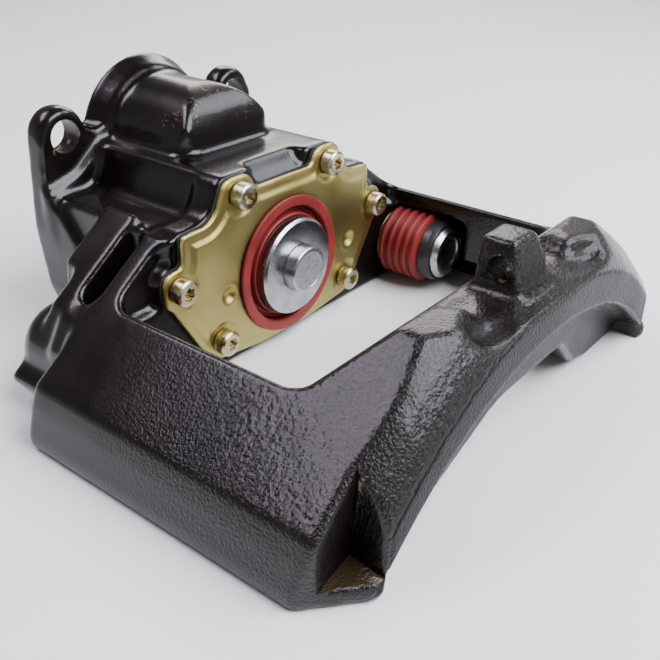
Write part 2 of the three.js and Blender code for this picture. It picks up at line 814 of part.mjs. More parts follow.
// An open coil between the seat and the cover plate.
function returnSpring() {
  const meanR = 21.5;
  const wireR = 1.5;
  const turns = 3.5;
  const back = SEAT_FRONT_Y + wireR + GAP;
  const front = PLATE_BACK_Y - wireR - GAP;
  class Coil extends THREE.Curve {
    getPoint(t, target = new THREE.Vector3()) {
      const angle = 2 * Math.PI * turns * t;
      return target.set(meanR * Math.cos(angle), back + (front - back) * t, meanR * Math.sin(angle));
    }
  }
  const wire = new THREE.Shape();
  wire.absarc(0, 0, wireR, 0, 2 * Math.PI, false);
  return solid(new THREE.ExtrudeGeometry(wire, { steps: 56, curveSegments: 3, extrudePath: new Coil() }));
}
place("return_spring", returnSpring(), "steel");

// ---------------------------------------------------------------- operating lever, roller and shells
const LEVER_TIP_Y = -92;
const LEVER_TIP_Z = 56;
const JOURNAL_IN_X = 25.5;
const JOURNAL_OUT_X = 34;
const ROLLER_X = 24;
function operatingLever() {
  const hub = crossRod(HUB_R, -JOURNAL_OUT_X, JOURNAL_OUT_X, HUB_Y, 0);
  const arm = outline([
    [-51.5, 6, 5],
    [-84, 61, 4],
    [-87, 67, 4],
    [-95, 66, 5],
    [-100, 52, 5],
    [-72.5, -6, 5],
  ]);
  const flat = outline([[HUB_Y + 11, -20], [HUB_Y + 20, -20], [HUB_Y + 20, 20], [HUB_Y + 11, 20]]);
  return cut(joined([hub, prism("x", arm, -10, 10)]), [
    prism("x", flat, -JOURNAL_IN_X, JOURNAL_IN_X),
    crossRod(ROLLER_R + GAP, -ROLLER_X - GAP, ROLLER_X + GAP, HUB_Y + ROLLER_DY, ROLLER_DZ, 28),
    solid(new THREE.SphereGeometry(8, 20, 12).translate(0, LEVER_TIP_Y - 6, LEVER_TIP_Z + 2)),
  ]);
}
place("operating_lever", operatingLever(), "steel");
place(
  "eccentric_roller",
  crossRod(ROLLER_R, -ROLLER_X, ROLLER_X, HUB_Y + ROLLER_DY, ROLLER_DZ, 28),
  "bright",
);
const bearingShell = (x0, x1) =>
  cut(crossRod(SHELL_R, x0, x1, HUB_Y, 0), [
    crossRod(HUB_R + GAP, x0 - 1, x1 + 1, HUB_Y, 0),
    box(x0 - 1, x1 + 1, HUB_Y - 1, HUB_Y + SHELL_R + 1, -SHELL_R - 1, SHELL_R + 1),
  ]);
place("bearing_shell_left", bearingShell(JOURNAL_IN_X, JOURNAL_OUT_X), "brass");
place("bearing_shell_right", bearingShell(-JOURNAL_OUT_X, -JOURNAL_IN_X), "brass");

// ---------------------------------------------------------------- guide sleeves and what seals them
const BELLOWS_BACK_Y = -5.7;
const BELLOWS_FRONT_Y = 21.5;
const BELLOWS_R = 20.8;
const FOLDS = 5;
function bellows(x) {
  const inner = SLEEVE_R + 0.4;
  const pitch = (BELLOWS_FRONT_Y - BELLOWS_BACK_Y) / FOLDS;
  const profile = [[inner, BELLOWS_BACK_Y]];
  for (let i = 0; i < FOLDS; i += 1) {
    const y = BELLOWS_BACK_Y + i * pitch;
    profile.push([17.6, y], [BELLOWS_R, y + 0.35 * pitch], [BELLOWS_R, y + 0.65 * pitch]);
  }
  profile.push([17.6, BELLOWS_FRONT_Y], [inner, BELLOWS_FRONT_Y], [inner, BELLOWS_BACK_Y]);
  return turned(profile, x, PIN_Z);
}
function sleeve(x) {
  const profile = [
    [SLEEVE_HOLE_R, SLEEVE_BACK_Y],
    [SLEEVE_R, SLEEVE_BACK_Y],
    [SLEEVE_R, SLEEVE_END_Y - 3],
    [12.6, SLEEVE_END_Y],
    [SLEEVE_HOLE_R, SLEEVE_END_Y],
    [SLEEVE_HOLE_R, SLEEVE_BACK_Y],
  ];
  return turned(profile, x, PIN_Z);
}
function collar(x) {
  const inner = SLEEVE_R + GAP;
  const back = BELLOWS_FRONT_Y + GAP;
  const profile = [
    [inner, back],
    [18.2, back],
    [18.2, 27],
    [17.2, 29.5],
    [inner, 29.5],
    [inner, back],
  ];
  return turned(profile, x, PIN_Z);
}
bothSides((side) => {
  const hand = side > 0 ? "left" : "right";
  const x = side * PIN_X;
  place(`guide_sleeve_${hand}`, sleeve(x), "bright");
  place(`sleeve_collar_${hand}`, collar(x), "black");
  place(`guide_bellows_${hand}`, bellows(x), "red");
  place(`guide_bush_${hand}`, tube(SLEEVE_R + GAP, BUSH_R, BUSH_BACK_Y + 2, -7, x, PIN_Z), "brass");
  place(`guide_cap_${hand}`, rod(BUSH_R, PIN_BOSS_Y + GAP, PIN_BOSS_Y + 3.5, x, PIN_Z), "zinc");
});

// ---------------------------------------------------------------- the origin, at the middle of the base
caliper.position.set(0, -(FLANGE_BACK_Y + BEAM_OUT_Y) / 2, -BASE_Z);

export default caliper;
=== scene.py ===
from math import atan2, cos, pi, radians, sin, sqrt, tan

import bmesh
import bpy
import numpy as np
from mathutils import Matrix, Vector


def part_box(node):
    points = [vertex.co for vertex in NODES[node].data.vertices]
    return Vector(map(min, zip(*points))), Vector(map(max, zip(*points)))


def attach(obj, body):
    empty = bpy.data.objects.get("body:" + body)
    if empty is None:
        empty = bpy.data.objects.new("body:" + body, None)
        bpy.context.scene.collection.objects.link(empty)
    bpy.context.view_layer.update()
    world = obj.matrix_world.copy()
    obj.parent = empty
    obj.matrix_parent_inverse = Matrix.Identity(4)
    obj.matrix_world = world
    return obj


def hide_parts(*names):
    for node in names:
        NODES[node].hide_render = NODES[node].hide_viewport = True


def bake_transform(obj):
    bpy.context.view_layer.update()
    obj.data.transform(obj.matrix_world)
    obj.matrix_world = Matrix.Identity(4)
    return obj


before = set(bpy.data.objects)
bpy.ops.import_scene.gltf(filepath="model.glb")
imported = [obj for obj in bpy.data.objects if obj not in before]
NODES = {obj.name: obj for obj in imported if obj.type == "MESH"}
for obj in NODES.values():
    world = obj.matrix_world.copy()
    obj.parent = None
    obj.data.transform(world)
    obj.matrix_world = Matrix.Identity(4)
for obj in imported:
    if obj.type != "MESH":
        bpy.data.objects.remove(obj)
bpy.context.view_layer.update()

import openvdb as vdb
from mathutils import Matrix, Vector

ring_low, ring_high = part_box("boot_ring")
DATUM = Vector(((ring_low.x + ring_high.x) / 2, ring_high.y, (ring_low.z + ring_high.z) / 2))
MM = 0.001

# ---------------------------------------------------------------- driving dimensions
SIDES = (1, -1)
BASE_Z = -44
TOP_Z = 94
OUTER_X = 150
BEAM_OUT_Y = 148
FACE_Y = -7.7  # machined front of the housing
FLANGE_BACK_Y = -110
FLANGE_FRONT_Y = -97
BORE_R = 41  # bore for the thrust bridge
BORE_BACK_Y = -48
LEVER_ROOM_Y = -94
ROD_R = 18  # opening for the chamber's push rod
STUD = (60.325, 62.4)
STUD_R = 8.5
PIN = (105, -20)
PIN_BORE_R = 17.8
PIN_BORE_BACK_Y = -61
SHAFT = (-15.87, -21.84)  # adjuster shaft
SHAFT_HOLE_R = 4.3
LUG_HOLE = (125.5, 40)
LUG_HOLE_R = 6
HUB_Y = -62  # axis of the lever
LEVER_SWEEP_R = 16.8  # room for the roller as the lever swings
LEVER_SWEEP_X = 24.7
SHELF_Z = -36  # level floor over each foot
POCKET_TOP_Z = 12
AXLE_Z = -141  # the wheel's axle, which the outboard band follows
BAND_R = 171
BAND_ROUND_X = 117
BAND_END_FALL = 0.667
BAND_HEIGHT = 17.5
SCREWS = ((33.4, 46.6), (74.8, 11.9), (49.3, -25.7))
SCREW_HOLE_R = 3.8
SCREW_HOLE_BACK_Y = -25
COVER_HALF = [
    (19, -40.5, 16), (52, -36.5, 9), (62, -26, 9), (79, 1.5, 6), (83.5, 5, 6), (83.5, 20.5, 7),
    (71.5, 22, 3), (70.8, 36.5, 3), (50, 37.5, 12), (42.5, 55.5, 8), (24.5, 55.5, 8), (21, 47.5, 4),
]


def place(points):
    """Millimetres from the tappet axis to metres in the row frame."""
    return np.asarray(points, float) * MM + np.array(DATUM)


# ---------------------------------------------------------------- materials
class Finish:
    """A material with a principled shader, and short ways to add and join nodes."""

    def __init__(self, name, **values):
        self.material = bpy.data.materials.new(name)
        self.material.use_nodes = True
        self.tree = self.material.node_tree
        self.shader = self.tree.nodes["Principled BSDF"]
        self.set(**values)

    def set(self, **values):
        for key, value in values.items():
            socket = self.shader.inputs[key.replace("_", " ")]
            if isinstance(value, bpy.types.NodeSocket):
                self.tree.links.new(value, socket)
            elif isinstance(value, tuple):
                socket.default_value = (*value, 1.0) if len(value) == 3 else value
            else:
                socket.default_value = value

    def add(self, kind, inputs=None, **options):
        node = self.tree.nodes.new("ShaderNode" + kind)
        for key, value in options.items():
            setattr(node, key, value)
        for key, value in (inputs or {}).items():
            socket = node.inputs[key]
            if isinstance(value, bpy.types.NodeSocket):
                self.tree.links.new(value, socket)
            else:
                socket.default_value = value
        return node

    def place(self):
        return self.add("TexCoord").outputs["Object"]

    def noise(self, scale, detail=3.0, rough=0.5, distortion=0.0):
        values = {"Vector": self.place(), "Scale": scale, "Detail": detail, "Roughness": rough}
        values["Distortion"] = distortion
        return self.add("TexNoise", values).outputs["Fac"]

    def span(self, value, low, high, out_low=0.0, out_high=1.0):
        values = {"Value": value, "From Min": low, "From Max": high, "To Min": out_low, "To Max": out_high}
        return self.add("MapRange", values).outputs["Result"]

    def math(self, operation, a, b=0.0):
        return self.add("Math", {0: a, 1: b}, operation=operation).outputs[0]

    def mix(self, share, a, b):
        node = self.add("Mix", data_type="RGBA")
        for index, value in ((0, share), (6, a), (7, b)):
            socket = node.inputs[index]
            if isinstance(value, bpy.types.NodeSocket):
                self.tree.links.new(value, socket)
            else:
                socket.default_value = (*value, 1.0) if isinstance(value, tuple) else value
        return node.outputs[2]

    def bump(self, height, distance, strength=1.0, normal=None):
        values = {"Height": height, "Distance": distance, "Strength": strength}
        if normal is not None:
            values["Normal"] = normal
        return self.add("Bump", values).outputs["Normal"]

    def axis(self, letter):
        return self.add("SeparateXYZ", {0: self.place()}).outputs[letter]


def band_height(f):
    """Height above the upper edge of the outboard band, which follows the wheel."""
    across = f.math("ABSOLUTE", f.axis("X"))
    near = f.math("MINIMUM", across, BAND_ROUND_X * MM)
    arc = f.math("SQRT", f.math("SUBTRACT", (BAND_R * MM) ** 2, f.math("MULTIPLY", near, near)))
    fall = f.math("MULTIPLY", f.math("SUBTRACT", across, near), BAND_END_FALL)
    top = f.math("SUBTRACT", f.math("ADD", arc, (AXLE_Z - BASE_Z) * MM), fall)
    return f.math("SUBTRACT", f.axis("Z"), top)


def worn_places(f):
    """Chipped edges, and a rubbed patch on the front of the lever dome."""
    edge = f.add("NewGeometry").outputs["Pointiness"]
    chips = f.span(f.noise(240, 4, 0.7), 0.56, 0.6)
    worn = f.math("MULTIPLY", f.span(edge, 0.525, 0.56), chips)
    rubbed = f.math("MULTIPLY", f.span(f.axis("Z"), 0.108, 0.122), f.span(f.noise(45, 2), 0.44, 0.54))
    rubbed = f.math("MULTIPLY", rubbed, f.span(f.axis("Y"), -0.095, -0.078))
    rubbed = f.math("MULTIPLY", rubbed, f.span(f.noise(520, 4, 0.7), 0.57, 0.63))
    return f.math("MAXIMUM", worn, rubbed)


def band_lines(f, facing):
    """The ragged seam along the band's upper edge, and the parting line along its lower one."""
    height = f.math("ADD", band_height(f), f.span(f.noise(210, 3), 0.3, 0.7, -0.0012, 0.0012))
    seam = f.span(f.math("ABSOLUTE", height), 0.0, 0.0016, 1, 0)
    lower = f.math("ABSOLUTE", f.math("ADD", band_height(f), BAND_HEIGHT * MM))
    parting = f.span(lower, 0.0, 0.0005, 1, 0)
    lines = f.math("MULTIPLY", f.math("MAXIMUM", seam, parting), f.span(facing["Y"], 0.35, 0.6))
    return f.math("MULTIPLY", lines, f.span(f.axis("Y"), 0.112, 0.12))


def foot_shelf(f, facing):
    """The level floors over the feet, where oil gathers."""
    level = f.math("MULTIPLY", f.span(f.axis("Z"), 0.0092, 0.0084), f.span(facing["Z"], 0.8, 0.95))
    return f.math("MULTIPLY", level, f.span(f.axis("Y"), 0.1095, 0.1115))


def black_paint():
    """Thick gloss paint over cast iron, pebbled on the outboard surfaces."""
    f = Finish("black_paint_visual", Coat_Roughness=0.07, IOR=1.45)
    blotch = f.noise(34, 3)
    facing = f.add("SeparateXYZ", {0: f.add("NewGeometry").outputs["Normal"]}).outputs
    outward = f.span(facing["Y"], 0.15, 0.5, 0.6, 1.0)
    pebbled = f.math("MULTIPLY", f.span(f.axis("Y"), -0.02, 0.06), outward)
    worn = worn_places(f)
    lines = band_lines(f, facing)
    base = f.mix(f.span(blotch, 0.3, 0.7), (0.0022, 0.0012, 0.0014), (0.0058, 0.0032, 0.0030))
    dust = f.span(f.noise(170, 4), 0.55, 0.72, 0, 0.4)
    base = f.mix(dust, base, (0.011, 0.0075, 0.006))
    base = f.mix(worn, base, (0.20, 0.135, 0.07))
    base = f.mix(f.math("MULTIPLY", lines, 0.7), base, (0.0012, 0.0007, 0.0006))
    base = f.mix(foot_shelf(f, facing), base, (0.030, 0.019, 0.009))
    steep = f.span(facing["Y"], 0.86, 0.97)
    rough = f.math("ADD", f.span(blotch, 0.3, 0.7, 0.17, 0.27), f.math("MULTIPLY", worn, 0.3))
    rough = f.math("ADD", rough, f.math("MULTIPLY", steep, 0.12))
    waves = f.bump(f.noise(60, 2), 0.0005, 0.3)
    grain = f.bump(f.noise(1100, 3, 0.6), 0.0002, 0.5, waves)
    pebbles = f.bump(f.noise(760, 2, 0.5), 0.0010, pebbled, grain)
    seamed = f.bump(f.math("SUBTRACT", 1.0, lines), 0.0008, 1.0, pebbles)
    f.set(Base_Color=base, Roughness=rough, Normal=seamed)
    f.set(Coat_Normal=f.bump(f.noise(420, 2), 0.0003, f.span(pebbled, 0, 1, 0.25, 0.9), waves))
    f.set(Coat_Weight=f.span(steep, 0, 1, 0.3, 0.05))
    f.set(Specular_IOR_Level=f.span(steep, 0, 1, 0.3, 0.12))
    return f.material


def plated_sheet():
    f = Finish("gold_plating_visual", Metallic=1.0)
    cloud = f.noise(30, 3)
    speck = f.noise(1700, 2, 0.7)
    base = f.mix(f.span(cloud, 0.35, 0.65), (0.36, 0.285, 0.085), (0.46, 0.395, 0.15))
    base = f.mix(f.span(speck, 0.56, 0.7, 0, 0.5), base, (0.15, 0.11, 0.03))
    f.set(Base_Color=base, Roughness=f.span(cloud, 0.3, 0.7, 0.3, 0.44))
    f.set(Normal=f.bump(speck, 0.00022, 0.7))
    return f.material


def plated_screw():
    f = Finish("zinc_plating_visual", Metallic=1.0)
    cloud = f.noise(130, 3)
    base = f.mix(f.span(cloud, 0.4, 0.6), (0.46, 0.38, 0.20), (0.56, 0.52, 0.40))
    base = f.mix(f.span(f.noise(420, 3), 0.62, 0.7, 0, 0.7), base, (0.20, 0.12, 0.05))
    f.set(Base_Color=base, Roughness=f.span(cloud, 0.3, 0.7, 0.22, 0.38))
    f.set(Normal=f.bump(f.noise(1500, 2), 0.0001, 0.3))
    return f.material


def silicone():
    f = Finish("red_silicone_visual", Roughness=0.5, Specular_IOR_Level=0.4)
    cloud = f.noise(60, 3)
    base = f.mix(f.span(cloud, 0.3, 0.7), (0.15, 0.009, 0.009), (0.24, 0.019, 0.017))
    f.set(Base_Color=base, Normal=f.bump(f.noise(800, 2), 0.0001, 0.4))
    return f.material


def turned_steel(name, color, low, high, marks=0.25):
    """Machined steel, a little clouded, with fine marks."""
    f = Finish(name, Metallic=1.0)
    cloud = f.noise(90, 4)
    dark = tuple(c * 0.72 for c in color)
    f.set(Base_Color=f.mix(f.span(cloud, 0.42, 0.72), color, dark))
    f.set(Roughness=f.span(cloud, 0.3, 0.7, low, high))
    f.set(Normal=f.bump(f.noise(1400, 3), 0.00006, marks))
    return f.material


def scratched_steel():
    f = Finish("scratched_steel_visual", Metallic=1.0)
    swirl = f.noise(240, 5, 0.65, distortion=2.5)
    base = f.mix(f.span(swirl, 0.35, 0.65), (0.34, 0.34, 0.345), (0.62, 0.62, 0.63))
    f.set(Base_Color=base, Roughness=f.span(swirl, 0.3, 0.7, 0.28, 0.5))
    f.set(Normal=f.bump(swirl, 0.00025, 0.5))
    return f.material


def dark_coating(name, color, roughness):
    f = Finish(name, Metallic=0.2)
    cloud = f.noise(140, 3)
    f.set(Base_Color=f.mix(cloud, color, tuple(c * 2.2 for c in color)))
    f.set(Roughness=f.span(cloud, 0.3, 0.7, roughness, roughness + 0.15))
    f.set(Normal=f.bump(f.noise(900, 2), 0.00015, 0.4))
    return f.material


PAINT = black_paint()
GOLD = plated_sheet()
ZINC = plated_screw()
SILICONE = silicone()
BRIGHT = turned_steel("machined_steel_visual", (0.50, 0.50, 0.51), 0.2, 0.32)
SCRATCHED = scratched_steel()
STEEL = turned_steel("plain_steel_visual", (0.36, 0.345, 0.32), 0.3, 0.45, 0.4)
BRONZE = turned_steel("bearing_bronze_visual", (0.55, 0.38, 0.16), 0.28, 0.4)
DARK = dark_coating("dark_steel_visual", (0.012, 0.011, 0.011), 0.3)
RUBBER = dark_coating("black_rubber_visual", (0.012, 0.012, 0.012), 0.6)
GASKET = dark_coating("gasket_visual", (0.015, 0.015, 0.015), 0.65)


# ---------------------------------------------------------------- mesh helpers
def piece(name, points, faces, material, crease=32):
    """A smooth-shaded mesh object from points in millimetres, with creases kept sharp."""
    mesh = bpy.data.meshes.new(name)
    mesh.from_pydata(place(points).tolist(), [], [list(map(int, face)) for face in faces])
    mesh.materials.append(material)
    mesh.polygons.foreach_set("use_smooth", [True] * len(mesh.polygons))
    mesh.set_sharp_from_angle(angle=radians(crease))
    mesh.update()
    made = bpy.data.objects.new(name, mesh)
    bpy.context.scene.collection.objects.link(made)
    return made


def rounded(corners, step=12, closed=True):
    """The outline through corners (a, b, radius), each corner turned into an arc."""
    points = []
    count = len(corners)
    for i, corner in enumerate(corners):
        here = Vector(corner[:2])
        radius = corner[2] if len(corner) > 2 else 0
        at_end = not closed and i in (0, count - 1)
        if not radius or at_end:
            points.append(tuple(here))
            continue
        back = (Vector(corners[i - 1][:2]) - here).normalized()
        ahead = (Vector(corners[(i + 1) % count][:2]) - here).normalized()
        half = back.angle(ahead) / 2
        centre = here + (back + ahead).normalized() * (radius / sin(half))
        first = here + back * (radius / tan(half)) - centre
        last = here + ahead * (radius / tan(half)) - centre
        start = atan2(first.y, first.x)
        sweep = (atan2(last.y, last.x) - start + pi) % (2 * pi) - pi
        steps = max(2, int(abs(sweep) / radians(step)) + 1)
        for k in range(steps + 1):
            angle = start + sweep * k / steps
            points.append((centre.x + radius * cos(angle), centre.y + radius * sin(angle)))
    return points


def both_halves(half):
    return half + [(-c[0], *c[1:]) for c in reversed(half)]


def lathe(name, corners, centre, material, sides=72, closed=True, step=15):
    """A profile of (radius, y, rounding) corners turned about the line along Y through centre."""
    profile = rounded(corners, step, closed)
    x, z = centre
    points, rows = [], []
    for r, y in profile:
        if r < 1e-6:
            rows.append([len(points)] * sides)
            points.append((x, y, z))
            continue
        rows.append(list(range(len(points), len(points) + sides)))
        for k in range(sides):
            angle = 2 * pi * k / sides
            points.append((x + r * cos(angle), y, z + r * sin(angle)))
    faces = []
    last = len(rows) if closed else len(rows) - 1
    for i in range(last):
        a, b = rows[i], rows[(i + 1) % len(rows)]
        for k in range(sides):
            n = (k + 1) % sides
            loop = [a[k], a[n], b[n], b[k]]
            loop = [v for j, v in enumerate(loop) if v != loop[j - 1]]
            if len(loop) > 2:
                faces.append(loop)
    made = piece(name, points, faces, material)
    turn_outwards(made)
    return made


def turn_outwards(made):
    work = bmesh.new()
    work.from_mesh(made.data)
    bmesh.ops.recalc_face_normals(work, faces=work.faces)
    work.to_mesh(made.data)
    work.free()


def prism_mesh(outline, y0, y1):
    """Points and faces of an outline (x, z) pushed along Y."""
    count = len(outline)
    points = [(x, y0, z) for x, z in outline] + [(x, y1, z) for x, z in outline]
    faces = [list(range(count)), list(range(2 * count - 1, count - 1, -1))]
    for i in range(count):
        j = (i + 1) % count
        faces.append([i, i + count, j + count, j])
    return points, faces


def round_bar(r, start, end, sides=48):
    """Points and faces of a rod between two points."""
    start, end = Vector(start), Vector(end)
    along = (end - start).normalized()
    side = along.orthogonal().normalized()
    other = along.cross(side)
    points = []
    for centre in (start, end):
        for k in range(sides):
            angle = 2 * pi * k / sides
            points.append(tuple(centre + side * (r * cos(angle)) + other * (r * sin(angle))))
    faces = [list(range(sides))[::-1], list(range(sides, 2 * sides))]
    for k in range(sides):
        n = (k + 1) % sides
        faces.append([k, n, n + sides, k + sides])
    return points, faces


def cut_away(made, solids):
    """Takes closed solids, that don't touch one another, out of an object."""
    points, faces = [], []
    for solid_points, solid_faces in solids:
        start = len(points)
        points += solid_points
        faces += [[start + v for v in face] for face in solid_faces]
    cutter = piece("cutter", points, faces, made.data.materials[0])
    turn_outwards(cutter)
    modifier = made.modifiers.new("cut", "BOOLEAN")
    modifier.operation = "DIFFERENCE"
    modifier.solver = "MANIFOLD"
    modifier.object = cutter
    bake(made)
    bpy.data.objects.remove(cutter)


def bake(made):
    """Applies an object's modifiers."""
    evaluated = made.evaluated_get(bpy.context.evaluated_depsgraph_get())
    mesh = bpy.data.meshes.new_from_object(evaluated)
    made.modifiers.clear()
    made.data = mesh


def thin_out(made, faces):
    """Brings a mesh down to about so many triangles."""
    triangles = sum(len(p.vertices) - 2 for p in made.data.polygons)
    if triangles <= faces:
        return
    modifier = made.modifiers.new("thin", "DECIMATE")
    modifier.ratio = faces / triangles
    bake(made)


# ---------------------------------------------------------------- distance fields
class Field:
    """A grid of distances to a surface, in millimetres: negative inside."""

    def __init__(self, values, low, voxel):
        self.values, self.low, self.voxel = values, low, voxel

    def axes(self, window=None):
        """Coordinates along each axis, and the slice of the grid, inside a window of (low, high)."""
        out, cuts = [], []
        for i in range(3):
            c = (self.low[i] + np.arange(self.values.shape[i])) * self.voxel
            first, last = 0, len(c)
            if window:
                first, last = np.searchsorted(c, (window[0][i], window[1][i]))
            shape = [1, 1, 1]
            shape[i] = last - first
            out.append(c[first:last].reshape(shape))
            cuts.append(slice(first, last))
        return out, tuple(cuts)

    def scoop(self, centre, radii, blend):
        """Takes an ellipsoid away, with a soft rim."""
        reach = [r + blend + 3 for r in radii]
        window = ([c - r for c, r in zip(centre, reach)], [c + r for c, r in zip(centre, reach)])
        axes, cuts = self.axes(window)
        k = np.sqrt(sum(((a - c) / r) ** 2 for a, c, r in zip(axes, centre, radii)))
        ball = (k - 1) * min(radii)
        self.values[cuts] = -smooth_min(-self.values[cuts], ball, blend)

    def blur(self, times, window=None):
        _, cuts = self.axes(window)
        for _ in range(times):
            for i in range(3):
                v = np.moveaxis(self.values[cuts], i, 0)
                v[1:-1] = (v[:-2] + 2 * v[1:-1] + v[2:]) / 4

    def grid(self):
        grid = vdb.FloatGrid(float(self.values.max()))
        grid.copyFromArray(np.ascontiguousarray(self.values), ijk=self.low, tolerance=0.0)
        grid.transform = vdb.createLinearTransform(voxelSize=self.voxel)
        return grid

    def mesh(self):
        points, triangles, quads = self.grid().convertToPolygons(isovalue=0.0, adaptivity=0.0)
        return points, quads.tolist() + triangles.tolist()


def smooth_min(a, b, k):
    """The smaller of two distances, blended where they are less than k apart."""
    h = np.clip(k - np.abs(a - b), 0, None) / k
    return (np.minimum(a, b) - h * h * k / 4).astype(np.float32)


def level_set(points, triangles, quads, voxel, width):
    return vdb.FloatGrid.createLevelSetFromPolygons(
        np.ascontiguousarray(points, dtype=np.float32),
        triangles=triangles if triangles is not None and len(triangles) else None,
        quads=quads if quads is not None and len(quads) else None,
        transform=vdb.createLinearTransform(voxelSize=voxel),
        halfWidth=width,
    )


def offset(grid, by, voxel, width):
    """The level set of the surface that lies so far outside."""
    points, triangles, quads = grid.convertToPolygons(isovalue=by, adaptivity=0.0)
    return level_set(points, triangles, quads, voxel, width)


def dense(grid, voxel):
    """A level set as a field on a full grid."""
    low, high = grid.evalActiveVoxelBoundingBox()
    values = np.empty([high[i] - low[i] + 1 for i in range(3)], np.float32)
    grid.copyToArray(values, ijk=low)
    return Field(values, low, voxel)


def softened(node, voxel, fillet, edge, plugs=()):
    """A CAD node as a distance field, with inner corners filled and outer edges rounded.
    Plugs (start, end, radius) first fill its bores, so that thin walls round them stay whole."""
    mesh = NODES[node].data
    mesh.calc_loop_triangles()
    co = np.empty(len(mesh.vertices) * 3, np.float32)
    mesh.vertices.foreach_get("co", co)
    points = (co.reshape(-1, 3) - np.array(DATUM, np.float32)) / MM
    tri = np.empty(len(mesh.loop_triangles) * 3, np.int32)
    mesh.loop_triangles.foreach_get("vertices", tri)
    grid = level_set(points, tri.reshape(-1, 3).astype(np.uint32), None, voxel, fillet / voxel + 3)
    filled = dense(grid, voxel)
    for start, end, radius in plugs:
        low = [min(a, b) - radius - 9 for a, b in zip(start, end)]
        high = [max(a, b) + radius + 9 for a, b in zip(start, end)]
        axes, cuts = filled.axes((low, high))
        length = (Vector(end) - Vector(start)).length
        along = sum((c - a) * (b - a) / length for c, a, b in zip(axes, start, end))
        away = np.sqrt(np.maximum(sum((c - a) ** 2 for c, a in zip(axes, start)) - along**2, 0))
        bar = np.maximum(away - radius, np.maximum(-along, along - length))
        filled.values[cuts] = np.minimum(filled.values[cuts], bar).astype(np.float32)
    points, triangles, quads = filled.grid().convertToPolygons(isovalue=fillet, adaptivity=0.0)
    grid = level_set(points, triangles, quads, voxel, (fillet + edge) / voxel + 3)
    grid = offset(grid, -(fillet + edge), voxel, edge / voxel + 3)
    return dense(offset(grid, edge, voxel, 5), voxel)


# ---------------------------------------------------------------- the casting
def foot_pocket(side):
    """Points and faces of the cut that leaves two upright walls and a shelf over a foot."""
    shelf = ((119.8, 130.2), (156, 135.3), (156, 160), (122.2, 160))
    above = ((118, 131.5), (156, 136.9), (156, 160), (120.4, 160))
    points = [(side * x, y, SHELF_Z) for x, y in shelf] + [(side * x, y, POCKET_TOP_Z) for x, y in above]
    faces = [[0, 1, 2, 3], [4, 5, 6, 7]]
    for k in range(4):
        n = (k + 1) % 4
        faces.append([k, n, n + 4, k + 4])
    return points, faces


def bores_along_y():
    """The casting's round bores: x, z, radius and the two ends."""
    bores = [
        (*SHAFT, SHAFT_HOLE_R, FLANGE_BACK_Y, LEVER_ROOM_Y),
        (0, 0, BORE_R, BORE_BACK_Y, FACE_Y),
        (0, STUD[1], ROD_R, FLANGE_BACK_Y, LEVER_ROOM_Y),
    ]
    for side in SIDES:
        bores.append((side * STUD[0], STUD[1], STUD_R, FLANGE_BACK_Y, FLANGE_FRONT_Y))
        bores.append((side * PIN[0], PIN[1], PIN_BORE_R, PIN_BORE_BACK_Y, FACE_Y + 0.7))
        for x, z in SCREWS:
            bores.append((side * x, z, SCREW_HOLE_R, SCREW_HOLE_BACK_Y, FACE_Y))
    return bores


def casting():
    """The casting with filleted inner corners and rounded edges, and with its bores left crisp."""
    voxel = 1.1
    bores = bores_along_y()
    plugs = [((x, y0, z), (x, y1, z), r + 0.3) for x, z, r, y0, y1 in bores]
    plugs.append(((-13, *LUG_HOLE), (15, *LUG_HOLE), LUG_HOLE_R + 0.3))
    field = softened("caliper_body", voxel, 3.0, 1.0, plugs)
    for side in SIDES:
        field.scoop((side * 34, 118, 35.5), (12, 9, 7.5), 4)
        field.scoop((side * 43, 140, 33), (15, 7, 7), 4)
    field.blur(5, ((-64, 97, 18), (64, 147, 38)))
    field.blur(1)
    points, faces = field.mesh()
    points = np.clip(points, (-OUTER_X, FLANGE_BACK_Y, BASE_Z), (OUTER_X, BEAM_OUT_Y, TOP_Z))
    body = piece("casting", points, faces, PAINT, 60)
    thin_out(body, 180000)
    cutters = [round_bar(LUG_HOLE_R, (-30, *LUG_HOLE), (30, *LUG_HOLE))]
    for x, z, r, y0, y1 in bores:
        y0 -= 1 if y0 > -60 else 3
        y1 += 4 if r == STUD_R else 2.5
        cutters.append(round_bar(r, (x, y0, z), (x, y1, z), 96 if r > 12 else 40))
    cut_away(body, cutters + [foot_pocket(side) for side in SIDES])
    cut_away(body, [round_bar(LEVER_SWEEP_R, (-LEVER_SWEEP_X, HUB_Y, 0), (LEVER_SWEEP_X, HUB_Y, 0), 96)])
    body.data.polygons.foreach_set("use_smooth", [True] * len(body.data.polygons))
    body.data.set_sharp_from_angle(angle=radians(50))
    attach(body, "root")
    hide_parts("caliper_body")


# ---------------------------------------------------------------- the cover plate
def outline_distance(outline, x, z):
    """Signed distance of grid points to a closed outline, negative inside."""
    corners = np.array(outline)
    nearest = np.full(x.shape, 1e9)
    inside = np.zeros(x.shape, bool)
    for (ax, az), (bx, bz) in zip(corners, np.roll(corners, -1, axis=0)):
        dx, dz = bx - ax, bz - az
        length = dx * dx + dz * dz
        if length < 1e-9:
            continue
        t = np.clip(((x - ax) * dx + (z - az) * dz) / length, 0, 1)
        nearest = np.minimum(nearest, (x - ax - t * dx) ** 2 + (z - az - t * dz) ** 2)
        crosses = ((az > z) != (bz > z)) & (x < ax + (z - az) * dx / (dz if abs(dz) > 1e-9 else 1e-9))
        inside ^= crosses
    return np.where(inside, -1, 1) * np.sqrt(nearest)


def ramp(value, low, high):
    t = np.clip((value - low) / (high - low), 0, 1)
    return t * t * (3 - 2 * t)


